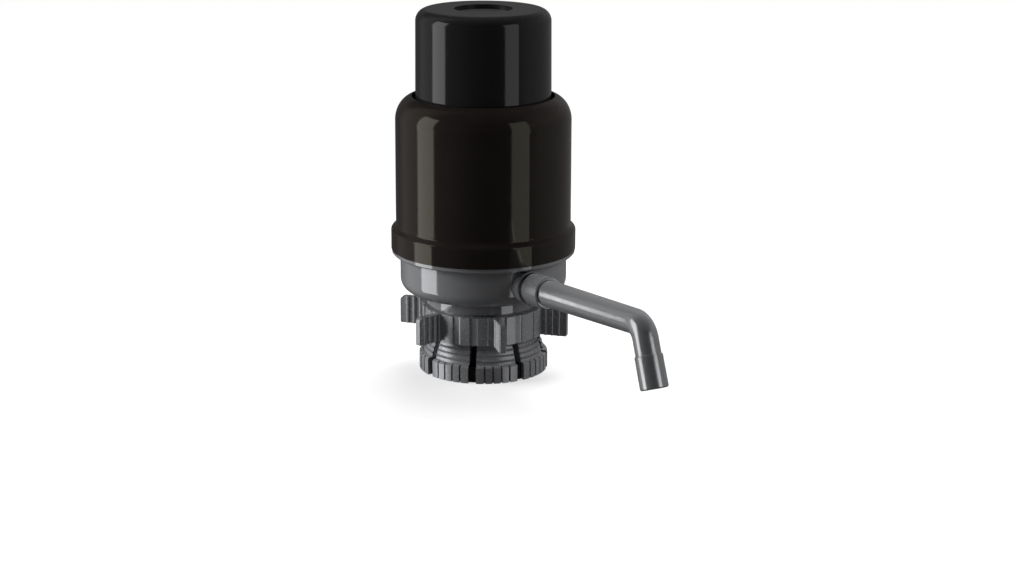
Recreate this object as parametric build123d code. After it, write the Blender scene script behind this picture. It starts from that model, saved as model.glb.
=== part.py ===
from build123d import *
import math
import os

os.makedirs("parts", exist_ok=True)

# Water jug pump, all sizes in millimetres. +Z is up along the pump's axis, Z = 0 is the foot of the
# clamping crown, and the spout points to +X.

# Clearances
slide_fit = 0.08
seat_gap = 0.1
body_gap = 0.3
fuse_overlap = 0.5

# Bottle neck and the rubber pieces that grip and seal it
neck_radius = 27.5
neck_clearance = 0.2
grip_length = 40.9
sleeve_wall = 2.0
sleeve_foot_wall = 10.8
sleeve_foot_height = 9.8
gasket_thickness = 3.0
gasket_bore_radius = 21.0

# Split collet with its crown of feet
collet_wall = 4.4
collet_hub_wall = 6.0
collet_web = 3.0
crown_radius = 41.5
crown_height = 12.8
crown_chamfer = 1.0
crown_neck_radius = 38.6
crown_slot_width = 5.1
slot_count = 8
slot_width = 4.4
slot_height = 34.0
collet_turn = 4.5
feet_per_segment = 5
foot_groove_width = 1.2
foot_groove_depth = 1.9
snap_bead = 0.4

# Wing nut that squeezes the collet
nut_bottom = 24.4
nut_height = 18.0
nut_radius = 39.0
nut_turn = -17.7
wing_count = 6
wing_reach = 56.3
wing_thickness = 3.5
wing_top_corner = 3.0
wing_foot_corner = 1.0
wing_ribs = 3
wing_rib_pitch = 4.4
wing_rib_foot = 2.0
wing_rib_crest = 0.7
wing_rib_height = 0.7
pads_per_bay = 3
pad_pitch_angle = 16.5
pad_angle = 8.8
pad_height = 0.7

# Base: neck ring, floor, bowl and lip
neck_ring_radius = 36.75
neck_ring_wall = 3.35
neck_ring_height = 8.0
floor_thickness = 2.5
bowl_radius = 53.27
bowl_wall = 2.6
bowl_corner = 8.2
bowl_height = 24.6
lip_width = 5.23
lip_thickness = 3.0
lip_corner = 0.8
spigot_height = 8.0

# Casing
skirt_overhang = 0.5
skirt_height = 11.7
skirt_wall = 2.4
flare_height = 4.9
casing_wall = 2.33
casing_draft = 0.15
casing_top = 178.0
shoulder_width = 13.0
shoulder_height = 15.5
guide_wall = 2.0
guide_length = 28.0
guide_lip = 3.0

# Push button
button_radius = 42.9
button_top_radius = 42.55
button_pressed_height = 12.4
button_edge = 7.5
button_wall = 2.2
button_gap = 2.3
button_stroke = 42.0
button_flange_height = 2.5
recess_radius = 18.4
recess_depth = 2.8
pusher_radius = 16.0
pusher_wall = 2.0
pusher_ribs = 6
pusher_rib_thickness = 1.8

# Bellows, its plates and its return spring
plate_level = 80.0
plate_radius = 40.5
plate_thickness = 3.5
seat_wall = 2.5
bellows_top = 168.0
bellows_crest = 36.0
bellows_root = 29.0
bellows_wall = 1.2
bellows_flange = 2.0
bellows_folds = 6
ring_flange = 2.5
ring_skirt = 8.5
ring_wall = 2.3
pusher_plate_thickness = 3.0
pusher_plate_radius = 38.0
pusher_boss_height = 6.0
spring_radius = 15.0
spring_wire = 2.2
spring_turns = 5
cap_thickness = 2.0
cap_rim = 5.0
cap_wall = 1.4

# Air valves
intake_disc_radius = 8.0
intake_disc_thickness = 1.2
intake_lift = 1.5
intake_holes = 6
intake_hole_radius = 1.8
intake_hole_circle = 4.6
cage_radius = 11.0
cage_wall = 1.8
cage_top = 1.6
cage_window = 5.0
delivery_offset = 22.3
delivery_tube_radius = 8.0
delivery_tube_wall = 2.0
delivery_hole_radius = 4.0
delivery_spigot = 5.0
duckbill_radius = 3.8
duckbill_flange = 2.0
duckbill_drop = 4.5
duckbill_lip = 1.6
duckbill_wall = 0.9

# Water way from the riser socket to the spout
spout_height = 62.0
spout_rise = 3.7
riser_radius = 5.05
riser_depth = 10.5
riser_leg_radius = 8.0
riser_drop = 4.5
water_bore_radius = 4.2
branch_radius = 6.2
branch_plug_length = 3.8
elbow_flange_radius = 12.5
elbow_flange = 2.0
elbow_seal_thickness = 1.5

# Spout boss, collar, tube and nozzle, measured along the tilted spout axis
boss_radius = 10.35
boss_proud = 6.23
boss_inner_reach = 42.0
boss_bore_radius = 8.4
boss_chamfer = 0.6
joint_gap = 3.2
spout_seal_wall = 1.2
spout_seal_gap = 0.3
collar_radius = 9.93
collar_length = 17.3
collar_spigot_length = 14.7
collar_bore_radius = 6.0
collar_chamfer = 0.5
collar_mouth_gap = 0.55
collar_mouth_depth = 1.2
tube_root_radius = 8.37
tube_bend_radius = 7.6
tube_plug_length = 10.8
tube_wall = 1.9
tube_straight_end = 172.5
bend_radius = 11.4
bend_lean = 20.2
leg_length = 9.7
leg_plug_length = 14.3
leg_plug_step = 0.75
nozzle_top_radius = 8.3
nozzle_tip_radius = 8.38
nozzle_length = 19.8
nozzle_mouth_radius = 5.7
nozzle_chamfer = 0.4
nozzle_edge = 0.8

# Levels worked out from the sizes above
sleeve_bore = neck_radius + neck_clearance
sleeve_radius = sleeve_bore + sleeve_wall
sleeve_top = grip_length
gasket_bottom = sleeve_top + seat_gap
gasket_top = gasket_bottom + gasket_thickness
collet_bore = sleeve_radius + seat_gap
collet_radius = collet_bore + collet_wall
nut_bore = collet_radius + body_gap
floor_bottom = gasket_top + neck_ring_height
floor_top = floor_bottom + floor_thickness
neck_ring_bore = neck_ring_radius - neck_ring_wall
lip_bottom = floor_bottom + bowl_height
lip_top = lip_bottom + lip_thickness
bowl_bore = bowl_radius - bowl_wall
boss_reach = bowl_radius + boss_proud
lip_radius = bowl_radius + lip_width
skirt_radius = lip_radius + skirt_overhang
spigot_top = lip_top + spigot_height
casing_bore = bowl_radius + body_gap
casing_foot_radius = casing_bore + casing_wall
casing_shoulder_radius = casing_foot_radius - casing_draft
opening_radius = button_radius + button_gap
guide_bottom = casing_top - guide_length
button_top = casing_top + button_stroke + button_pressed_height
button_flange_radius = opening_radius + guide_wall - body_gap
button_flange_top = guide_bottom - seat_gap
button_foot = button_flange_top - button_flange_height
button_bore = button_radius - button_wall
plate_top = plate_level + plate_thickness
bellows_bottom = plate_top
bellows_flange_top = bellows_bottom + bellows_flange
seat_bore = plate_radius - seat_wall
pusher_plate_top = bellows_top + pusher_plate_thickness
spring_bottom = plate_top
cap_top = bellows_top - bellows_flange
spring_top = cap_top - cap_thickness
collar_start = boss_reach + joint_gap
collar_end = collar_start + collar_length
spigot_radius = boss_bore_radius - slide_fit
spigot_start = collar_start - collar_spigot_length


def revolved(*points):
    """Solid turned about Z from a closed outline of (radius, height) points."""
    outline = [Vector(radius, 0, height) for radius, height in points]
    return revolve(make_face(Polyline(*outline, close=True)), Axis.Z)


def turned_on_spout(*points):
    """Solid turned about the spout's axis from (distance, radius) points, in its tilted place."""
    outline = [Vector(distance, 0, radius) for distance, radius in points]
    return on_spout(revolve(make_face(Polyline(*outline, close=True)), Axis.X))


def on_spout(shape):
    """Tilts a shape built along +X onto the spout's rising axis."""
    return Pos(0, 0, spout_height) * Rot(0, -spout_rise, 0) * shape


def pillar(radius, bottom, top, x=0.0, y=0.0):
    """Upright round bar between two levels."""
    return Pos(x, y, bottom) * Cylinder(radius, top - bottom, align=(Align.CENTER, Align.CENTER, Align.MIN))


def around(shape, count, turn=0.0):
    """Copies of a shape, evenly spaced about Z."""
    return [Rot(0, 0, turn + 360.0 * i / count) * shape for i in range(count)]


def grip_sleeve():
    foot_radius = sleeve_bore + sleeve_foot_wall
    return revolved(
        (sleeve_bore, 0),
        (foot_radius, 0),
        (foot_radius, sleeve_foot_height),
        (sleeve_radius, sleeve_foot_height),
        (sleeve_radius, sleeve_top),
        (sleeve_bore, sleeve_top),
    )


def neck_gasket():
    return revolved(
        (gasket_bore_radius, gasket_bottom),
        (collet_bore - seat_gap, gasket_bottom),
        (collet_bore - seat_gap, gasket_top),
        (gasket_bore_radius, gasket_top),
    )


def neck_collet():
    foot_bore = sleeve_bore + sleeve_foot_wall + seat_gap
    foot_top = sleeve_foot_height + seat_gap
    hub_radius = neck_ring_bore - seat_gap
    hub_top = floor_bottom - seat_gap
    hub_bore = hub_radius - collet_hub_wall
    bead_level = (gasket_top + hub_top) / 2
    shell = revolved(
        (foot_bore, 0),
        (crown_radius, 0),
        (crown_radius, crown_height - crown_chamfer),
        (crown_radius - crown_chamfer, crown_height),
        (crown_neck_radius, crown_height),
        (collet_radius, nut_bottom),
        (collet_radius, gasket_top),
        (hub_radius, gasket_top),
        (hub_radius, bead_level - snap_bead),
        (hub_radius + snap_bead, bead_level),
        (hub_radius, bead_level + snap_bead),
        (hub_radius, hub_top),
        (hub_bore, hub_top),
        (hub_bore, gasket_top + collet_web),
        (gasket_bore_radius, gasket_top + collet_web),
        (gasket_bore_radius, gasket_top),
        (collet_bore, gasket_top),
        (collet_bore, foot_top),
        (foot_bore, foot_top),
    )
    segment_angle = 360.0 / slot_count
    slot = Pos(0, 0, -fuse_overlap) * Box(
        crown_radius + fuse_overlap,
        slot_width,
        slot_height + fuse_overlap,
        align=(Align.MIN, Align.CENTER, Align.MIN),
    )
    slot += Pos(0, 0, -fuse_overlap) * Box(
        crown_radius + fuse_overlap,
        crown_slot_width,
        crown_height + fuse_overlap,
        align=(Align.MIN, Align.CENTER, Align.MIN),
    )
    groove = Pos(crown_radius - foot_groove_depth, 0, -fuse_overlap) * Box(
        foot_groove_depth + fuse_overlap,
        foot_groove_width,
        crown_height + 2 * fuse_overlap,
        align=(Align.MIN, Align.CENTER, Align.MIN),
    )
    cuts = around(slot, slot_count, collet_turn)
    slot_angle = math.degrees(crown_slot_width / crown_radius)
    foot_angle = (segment_angle - slot_angle) / feet_per_segment
    for i in range(1, feet_per_segment):
        groove_turn = collet_turn + slot_angle / 2 + i * foot_angle
        cuts += around(groove, slot_count, groove_turn)
    return shell - cuts


def wing_rib():
    """Outline of one ridge on a wing's side, with sloping flanks."""
    side = wing_thickness / 2
    outline = Polyline(
        (-wing_rib_foot / 2, 0),
        (-wing_rib_foot / 2, side),
        (-wing_rib_crest / 2, side + wing_rib_height),
        (wing_rib_crest / 2, side + wing_rib_height),
        (wing_rib_foot / 2, side),
        (wing_rib_foot / 2, 0),
        close=True,
    )
    return make_face(outline)


def wing_nut():
    bay = 360.0 / wing_count
    outline = Circle(nut_radius)
    wing = Rectangle(wing_reach, wing_thickness, align=(Align.MIN, Align.CENTER))
    first_rib = wing_reach - wing_top_corner - (wing_ribs - 0.5) * wing_rib_pitch
    rib = wing_rib() + mirror(wing_rib(), Plane.XZ)
    ribs = [Pos(first_rib + i * wing_rib_pitch, 0) * rib for i in range(wing_ribs)]
    outline += around(wing + ribs, wing_count)
    pad_edge = nut_radius + pad_height
    half = math.radians(pad_angle / 2)
    pad_arc = ThreePointArc(
        (pad_edge * math.cos(half), -pad_edge * math.sin(half)),
        (pad_edge, 0),
        (pad_edge * math.cos(half), pad_edge * math.sin(half)),
    )
    pad = make_face(pad_arc + Polyline(pad_arc @ 1, (nut_radius / 2, 0), pad_arc @ 0))
    for i in range(pads_per_bay):
        pad_turn = bay / 2 + (i - (pads_per_bay - 1) / 2) * pad_pitch_angle
        outline += around(pad, wing_count, pad_turn)
    blank = extrude(outline, nut_height)
    envelope = Cylinder(wing_reach, nut_height, align=(Align.CENTER, Align.CENTER, Align.MIN))
    rims = envelope.edges().filter_by(GeomType.CIRCLE).sort_by(Axis.Z)
    envelope = fillet(rims[-1], wing_top_corner)
    rims = envelope.edges().filter_by(GeomType.CIRCLE).sort_by(Axis.Z)
    envelope = fillet(rims[0], wing_foot_corner)
    body = blank & envelope
    body -= pillar(nut_bore, -fuse_overlap, nut_height + fuse_overlap)
    return Pos(0, 0, nut_bottom) * Rot(0, 0, nut_turn) * body


def base_bowl():
    snap_level = (lip_top + spigot_top) / 2
    bead_level = (gasket_top + floor_bottom - seat_gap) / 2
    groove_depth = snap_bead + seat_gap
    corner = bowl_corner / math.sqrt(2)
    bowl_outer = Polyline(
        Vector(0, 0, floor_bottom),
        Vector(neck_ring_bore, 0, floor_bottom),
        Vector(neck_ring_bore, 0, bead_level + groove_depth),
        Vector(neck_ring_bore + groove_depth, 0, bead_level),
        Vector(neck_ring_bore, 0, bead_level - groove_depth),
        Vector(neck_ring_bore, 0, gasket_top),
        Vector(neck_ring_radius, 0, gasket_top),
        Vector(neck_ring_radius, 0, floor_bottom),
        Vector(bowl_radius - bowl_corner, 0, floor_bottom),
    )
    outer_corner = ThreePointArc(
        bowl_outer @ 1,
        Vector(bowl_radius - bowl_corner + corner, 0, floor_bottom + bowl_corner - corner),
        Vector(bowl_radius, 0, floor_bottom + bowl_corner),
    )
    inner_radius = bowl_corner - bowl_wall
    inner_corner = inner_radius / math.sqrt(2)
    inner_start = Vector(bowl_bore, 0, floor_top + inner_radius)
    wall = Polyline(
        outer_corner @ 1,
        Vector(bowl_radius, 0, lip_bottom),
        Vector(lip_radius - lip_corner, 0, lip_bottom),
        Vector(lip_radius, 0, lip_bottom + lip_corner),
        Vector(lip_radius, 0, lip_top),
        Vector(bowl_radius, 0, lip_top),
        Vector(bowl_radius, 0, snap_level - snap_bead),
        Vector(bowl_radius + snap_bead, 0, snap_level),
        Vector(bowl_radius, 0, snap_level + snap_bead),
        Vector(bowl_radius, 0, spigot_top),
        Vector(bowl_bore, 0, spigot_top),
        inner_start,
    )
    inside = ThreePointArc(
        inner_start,
        Vector(bowl_bore - inner_radius + inner_corner, 0, floor_top + inner_radius - inner_corner),
        Vector(bowl_bore - inner_radius, 0, floor_top),
    )
    floor = Polyline(inside @ 1, Vector(0, 0, floor_top), bowl_outer @ 0)
    bowl = revolve(make_face(bowl_outer + outer_corner + wall + inside + floor), Axis.Z)
    below = floor_bottom - fuse_overlap
    above = floor_top + fuse_overlap
    bowl -= pillar(riser_leg_radius + seat_gap, below, above)
    bowl -= pillar(delivery_hole_radius, below, above, -delivery_offset)
    return bowl + plate_seat() + delivery_tube() + spout_boss() - spout_bore()


def plate_seat():
    """Ring wall on the floor that carries the valve plate, with a window for the branch and three for air."""
    wall = revolved(
        (seat_bore, floor_top - fuse_overlap),
        (plate_radius, floor_top - fuse_overlap),
        (plate_radius, plate_level),
        (seat_bore, plate_level),
    )
    window_width = 2 * (branch_radius + seat_gap) + seat_wall
    window_top = spout_height + plate_radius * math.tan(math.radians(spout_rise)) + branch_radius + seat_wall
    window = Pos(0, 0, floor_top) * Box(
        plate_radius + fuse_overlap,
        window_width,
        window_top - floor_top,
        align=(Align.MIN, Align.CENTER, Align.MIN),
    )
    return wall - around(window, 4)


def delivery_tube():
    return Pos(-delivery_offset, 0, 0) * revolved(
        (delivery_tube_radius - delivery_tube_wall, floor_top - fuse_overlap),
        (delivery_tube_radius, floor_top - fuse_overlap),
        (delivery_tube_radius, plate_level),
        (delivery_tube_radius - delivery_tube_wall, plate_level),
    )


def spout_boss():
    return turned_on_spout(
        (boss_inner_reach, 0),
        (boss_inner_reach, boss_radius),
        (boss_reach - boss_chamfer, boss_radius),
        (boss_reach, boss_radius - boss_chamfer),
        (boss_reach, 0),
    )


def spout_bore():
    return turned_on_spout(
        (boss_inner_reach - fuse_overlap, 0),
        (boss_inner_reach - fuse_overlap, boss_bore_radius),
        (boss_reach + fuse_overlap, boss_bore_radius),
        (boss_reach + fuse_overlap, 0),
    )


def casing():
    snap_level = (lip_top + spigot_top) / 2
    groove_depth = snap_bead + seat_gap
    skirt_top = lip_top + skirt_height
    wall_foot = skirt_top + flare_height
    shoulder_foot = casing_top - shoulder_height
    rim_start = opening_radius
    shoulder_centre = casing_shoulder_radius - shoulder_width
    rim_share = (rim_start - shoulder_centre) / shoulder_width
    rim_angle = math.degrees(math.acos(rim_share))
    mid_radius = (skirt_radius + casing_foot_radius) / 2
    mid_level = (skirt_top + wall_foot) / 2
    lower_curve = Spline(
        Vector(skirt_radius, 0, skirt_top),
        Vector(mid_radius, 0, mid_level),
        Vector(casing_foot_radius, 0, wall_foot),
        tangents=[Vector(0, 0, 1), Vector(0, 0, 1)],
    )
    shoulder = Pos(shoulder_centre, 0, shoulder_foot) * (
        Plane.XZ * EllipticalCenterArc((0, 0), shoulder_width, shoulder_height, 0, arc_size=rim_angle)
    )
    inner_width = shoulder_width - casing_wall
    inner_height = shoulder_height - casing_wall
    inner_centre = casing_bore - inner_width
    guide_radius = opening_radius + guide_wall
    guide_share = (guide_radius - inner_centre) / inner_width
    guide_angle = math.degrees(math.acos(guide_share))
    inner_shoulder = Pos(inner_centre, 0, shoulder_foot) * (
        Plane.XZ * EllipticalCenterArc((0, 0), inner_width, inner_height, 0, arc_size=guide_angle)
    )
    foot = Polyline(
        Vector(casing_bore, 0, snap_level - groove_depth),
        Vector(casing_bore, 0, lip_top + skirt_wall),
        Vector(skirt_radius - skirt_wall, 0, lip_top + skirt_wall),
        Vector(skirt_radius - skirt_wall, 0, lip_top),
        Vector(skirt_radius, 0, lip_top),
        Vector(skirt_radius, 0, skirt_top),
    )
    side = Line(lower_curve @ 1, Vector(casing_shoulder_radius, 0, shoulder_foot))
    guide = Polyline(
        shoulder @ 1,
        Vector(opening_radius, 0, guide_bottom + guide_lip),
        Vector(button_radius + slide_fit, 0, guide_bottom + guide_lip),
        Vector(button_radius + slide_fit, 0, guide_bottom),
        Vector(guide_radius, 0, guide_bottom),
        inner_shoulder @ 1,
    )
    inner_side = Polyline(
        Vector(casing_bore, 0, shoulder_foot),
        Vector(casing_bore, 0, snap_level + groove_depth),
        Vector(casing_bore + groove_depth, 0, snap_level),
        Vector(casing_bore, 0, snap_level - groove_depth),
    )
    outline = foot + lower_curve + side + shoulder + guide + inner_shoulder + inner_side
    return revolve(make_face(outline), Axis.Z)


def push_button():
    edge = button_edge / math.sqrt(2)
    edge_centre = button_top_radius - button_edge
    inner_edge = button_edge - button_wall
    inner = inner_edge / math.sqrt(2)
    inner_top = button_top - button_wall
    top_arc = ThreePointArc(
        Vector(button_top_radius, 0, button_top - button_edge),
        Vector(edge_centre + edge, 0, button_top - button_edge + edge),
        Vector(edge_centre, 0, button_top),
    )
    inner_arc = ThreePointArc(
        Vector(edge_centre, 0, inner_top),
        Vector(edge_centre + inner, 0, inner_top - inner_edge + inner),
        Vector(button_top_radius - button_wall, 0, inner_top - inner_edge),
    )
    recess_floor = button_top - recess_depth
    outer = Polyline(
        Vector(button_bore, 0, button_foot),
        Vector(button_flange_radius, 0, button_foot),
        Vector(button_flange_radius, 0, button_flange_top),
        Vector(button_radius, 0, button_flange_top),
        Vector(button_radius, 0, casing_top),
        top_arc @ 0,
    )
    recess = Polyline(
        top_arc @ 1,
        Vector(recess_radius, 0, button_top),
        Vector(recess_radius, 0, recess_floor),
        Vector(0, 0, recess_floor),
        Vector(0, 0, recess_floor - button_wall),
        Vector(recess_radius + button_wall, 0, recess_floor - button_wall),
        Vector(recess_radius + button_wall, 0, inner_top),
        inner_arc @ 0,
    )
    bore = Polyline(inner_arc @ 1, Vector(button_bore, 0, casing_top), Vector(button_bore, 0, button_foot))
    shell = revolve(make_face(outer + top_arc + recess + inner_arc + bore), Axis.Z)
    return shell + pusher()


def pusher():
    """Tube and ribs under the button's top, which push the plate on the bellows."""
    roof = button_top - recess_depth - button_wall + fuse_overlap
    tube = revolved(
        (pusher_radius - pusher_wall, pusher_plate_top),
        (pusher_radius, pusher_plate_top),
        (pusher_radius, roof),
        (pusher_radius - pusher_wall, roof),
    )
    rib = Pos(pusher_radius - pusher_wall / 2, 0, pusher_plate_top) * Box(
        button_bore + button_wall / 2 - pusher_radius,
        pusher_rib_thickness,
        roof - button_edge - pusher_plate_top,
        align=(Align.MIN, Align.CENTER, Align.MIN),
    )
    return tube + around(rib, pusher_ribs)


def pusher_plate():
    return revolved(
        (0, bellows_top),
        (pusher_plate_radius, bellows_top),
        (pusher_plate_radius, pusher_plate_top),
        (pusher_radius - pusher_wall - seat_gap, pusher_plate_top),
        (pusher_radius - pusher_wall - seat_gap, pusher_plate_top + pusher_boss_height),
        (0, pusher_plate_top + pusher_boss_height),
    )


def bellows():
    """Folded rubber bellows: an open foot flange, even folds and a closed top."""
    top_level = bellows_top - bellows_flange
    fold = (top_level - bellows_flange_top) / bellows_folds
    outer = [(bellows_root, bellows_flange_top)]
    inner = [(bellows_root - bellows_wall, bellows_bottom)]
    for i in range(bellows_folds):
        level = bellows_flange_top + i * fold
        outer.append((bellows_crest, level + fold / 2))
        inner.append((bellows_crest - bellows_wall, level + fold / 2))
        outer.append((bellows_root, level + fold))
        inner.append((bellows_root - bellows_wall, level + fold))
    foot = [(plate_radius, bellows_bottom), (plate_radius, bellows_flange_top)]
    top = [(bellows_root, bellows_top), (0, bellows_top), (0, top_level)]
    return revolved(*foot, *outer, *top, *reversed(inner))


def valve_plate():
    plate = revolved(
        (0, plate_level),
        (plate_radius, plate_level),
        (plate_radius, plate_top),
        (0, plate_top),
    )
    rib_start = spring_radius + spring_wire / 2 + body_gap
    plate += revolved(
        (rib_start, plate_top - fuse_overlap),
        (rib_start + cap_wall, plate_top - fuse_overlap),
        (rib_start + cap_wall, plate_top + spring_wire),
        (rib_start, plate_top + spring_wire),
    )
    spigot_outer = delivery_tube_radius - delivery_tube_wall - seat_gap
    spigot_end = plate_level - delivery_spigot
    below = spigot_end - fuse_overlap
    above = plate_top + fuse_overlap
    plate += pillar(spigot_outer, spigot_end, plate_top, -delivery_offset)
    plate -= pillar(delivery_hole_radius, below, above, -delivery_offset)
    hole = pillar(intake_hole_radius, below, above, intake_hole_circle)
    return plate - around(hole, intake_holes)


def intake_valve():
    return pillar(intake_disc_radius, plate_top, plate_top + intake_disc_thickness)


def valve_cage():
    stop_level = plate_top + intake_disc_thickness + intake_lift + seat_gap
    cage = revolved(
        (cage_radius - cage_wall, plate_top),
        (cage_radius, plate_top),
        (cage_radius, stop_level + cage_top),
        (intake_hole_radius, stop_level + cage_top),
        (intake_hole_radius, stop_level),
        (cage_radius - cage_wall, stop_level),
    )
    window = Pos(0, 0, plate_top + intake_disc_thickness) * Box(
        cage_radius + fuse_overlap,
        cage_window,
        intake_lift,
        align=(Align.MIN, Align.CENTER, Align.MIN),
    )
    return cage - around(window, 4)


def delivery_valve():
    """Rubber duckbill: a flange on the floor, a round throat and a flattened beak."""
    throat = revolved(
        (0, floor_bottom - fuse_overlap),
        (duckbill_radius, floor_bottom - fuse_overlap),
        (duckbill_radius, floor_top),
        (delivery_tube_radius - delivery_tube_wall - seat_gap, floor_top),
        (delivery_tube_radius - delivery_tube_wall - seat_gap, floor_top + duckbill_flange),
        (0, floor_top + duckbill_flange),
    )
    beak_top = floor_bottom - fuse_overlap
    beak = loft(
        [
            Pos(0, 0, beak_top) * Rectangle(2 * duckbill_radius, 2 * duckbill_radius * 0.7),
            Pos(0, 0, floor_bottom - duckbill_drop) * Rectangle(2 * duckbill_radius, duckbill_lip),
        ]
    )
    bore_bottom = floor_bottom - fuse_overlap
    bore = pillar(duckbill_radius - duckbill_wall, bore_bottom, floor_top + duckbill_flange + fuse_overlap)
    return Pos(-delivery_offset, 0, 0) * (throat + (beak & pillar(duckbill_radius, 0, beak_top)) - bore)


def clamp_ring():
    ring_bore = plate_radius + seat_gap
    ring_radius = ring_bore + ring_wall
    return revolved(
        (bellows_crest + body_gap, bellows_flange_top),
        (ring_bore, bellows_flange_top),
        (ring_bore, bellows_flange_top - ring_skirt),
        (ring_radius, bellows_flange_top - ring_skirt),
        (ring_radius, bellows_flange_top + ring_flange),
        (bellows_crest + body_gap, bellows_flange_top + ring_flange),
    )


def spring_cap():
    rim_bore = spring_radius + spring_wire / 2 + body_gap
    return revolved(
        (0, spring_top),
        (rim_bore, spring_top),
        (rim_bore, spring_top - cap_rim),
        (rim_bore + cap_wall, spring_top - cap_rim),
        (rim_bore + cap_wall, cap_top),
        (0, cap_top),
    )


def return_spring():
    """Coil spring: a round wire on pairs of arcs, each pair half a turn long."""
    low = spring_bottom + spring_wire / 2
    high = spring_top - spring_wire / 2
    steps = 2 * spring_turns
    climb = (high - low) / (2 * math.pi * spring_turns)

    def station(i):
        angle = math.pi * i
        place = Vector(spring_radius * math.cos(angle), spring_radius * math.sin(angle), low + climb * angle)
        heading = Vector(-spring_radius * math.sin(angle), spring_radius * math.cos(angle), climb)
        return place, heading.normalized()

    arcs = []
    for i in range(steps):
        start, leave = station(i)
        end, arrive = station(i + 1)
        chord = end - start
        both = leave + arrive
        a = 2 * (1 - leave.dot(arrive))
        b = 2 * chord.dot(both)
        reach = (math.sqrt(b * b + 4 * a * chord.dot(chord)) - b) / (2 * a)
        first_corner = start + leave * reach
        second_corner = end - arrive * reach
        meet = (first_corner + second_corner) * 0.5
        arcs.append(TangentArc(start, meet, tangent=leave))
        arcs.append(TangentArc(meet, end, tangent=second_corner - first_corner))
    path = Wire(arcs)
    start, leave = station(0)
    section = Plane(origin=start, z_dir=leave) * Circle(spring_wire / 2)
    gap = (high - low) / spring_turns - spring_wire
    print(f"spring: least gap between turns {gap:.2f} mm, smallest radius {spring_radius:.1f} mm")
    return sweep(section, path=path)


def outlet_elbow():
    leg_bottom = floor_bottom - riser_drop
    flange_bottom = floor_top + elbow_seal_thickness
    socket_top = leg_bottom + riser_depth
    plug_end = spigot_start - seat_gap
    leg = pillar(riser_leg_radius, leg_bottom, spout_height)
    flange = pillar(elbow_flange_radius, flange_bottom, flange_bottom + elbow_flange)
    heel = Pos(0, 0, spout_height) * Sphere(riser_leg_radius)
    branch = turned_on_spout(
        (0, 0),
        (0, branch_radius),
        (plug_end - branch_plug_length, branch_radius),
        (plug_end - branch_plug_length, spigot_radius),
        (plug_end, spigot_radius),
        (plug_end, 0),
    )
    socket = pillar(riser_radius, leg_bottom - fuse_overlap, socket_top)
    rising_bore = pillar(water_bore_radius, leg_bottom, spout_height)
    bend_bore = Pos(0, 0, spout_height) * Sphere(water_bore_radius)
    branch_bore = turned_on_spout(
        (0, 0),
        (0, water_bore_radius),
        (spigot_start, water_bore_radius),
        (spigot_start, 0),
    )
    return leg + flange + heel + branch - socket - rising_bore - bend_bore - branch_bore


def elbow_seal():
    return revolved(
        (riser_leg_radius + seat_gap, floor_top),
        (elbow_flange_radius, floor_top),
        (elbow_flange_radius, floor_top + elbow_seal_thickness),
        (riser_leg_radius + seat_gap, floor_top + elbow_seal_thickness),
    )


def spout_seal():
    seal_bore = spigot_radius + seat_gap
    return turned_on_spout(
        (boss_reach + spout_seal_gap, seal_bore),
        (boss_reach + spout_seal_gap, seal_bore + spout_seal_wall),
        (collar_start, seal_bore + spout_seal_wall),
        (collar_start, seal_bore),
    )


def spout_collar():
    socket_radius = tube_root_radius + slide_fit
    socket_start = collar_end - tube_plug_length - seat_gap
    return turned_on_spout(
        (spigot_start, collar_bore_radius),
        (spigot_start, spigot_radius),
        (collar_start, spigot_radius),
        (collar_start, collar_radius - collar_chamfer),
        (collar_start + collar_chamfer, collar_radius),
        (collar_end - collar_chamfer, collar_radius),
        (collar_end, collar_radius - collar_chamfer),
        (collar_end, tube_root_radius + collar_mouth_gap),
        (collar_end - collar_mouth_depth, tube_root_radius + collar_mouth_gap),
        (collar_end - collar_mouth_depth, socket_radius),
        (socket_start, socket_radius),
        (socket_start, collar_bore_radius),
    )


def leg_place():
    """Plane at the end of the spout's bend: its Z runs down the leg."""
    turn = 90 - bend_lean + spout_rise
    centre = Pos(tube_straight_end, 0, -bend_radius)
    return on_spout(centre * Rot(0, turn, 0) * Pos(0, 0, bend_radius)) * Rot(0, 90, 0)


def bend(radius):
    turn = 90 - bend_lean + spout_rise
    section = Pos(tube_straight_end, 0, 0) * (Plane.YZ * Circle(radius))
    axis = Axis((tube_straight_end, 0, -bend_radius), (0, 1, 0))
    return on_spout(revolve(section, axis, turn))


def spout_tube():
    plug_start = collar_end - tube_plug_length
    bore_root = tube_root_radius - tube_wall
    bore_bend = tube_bend_radius - tube_wall
    outside = turned_on_spout(
        (plug_start, 0),
        (plug_start, tube_root_radius),
        (collar_end, tube_root_radius),
        (tube_straight_end, tube_bend_radius),
        (tube_straight_end, 0),
    )
    inside = turned_on_spout(
        (plug_start, 0),
        (plug_start, bore_root),
        (collar_end, bore_root),
        (tube_straight_end, bore_bend),
        (tube_straight_end, 0),
    )
    plug_end = leg_length + leg_plug_length
    leg = leg_place() * revolved(
        (0, 0),
        (tube_bend_radius, 0),
        (tube_bend_radius, leg_length),
        (tube_bend_radius - leg_plug_step, leg_length),
        (tube_bend_radius - leg_plug_step, plug_end),
        (0, plug_end),
    )
    leg_bore = leg_place() * pillar(bore_bend, 0, plug_end)
    return outside + bend(tube_bend_radius) + leg - (inside + bend(bore_bend) + leg_bore)


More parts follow.
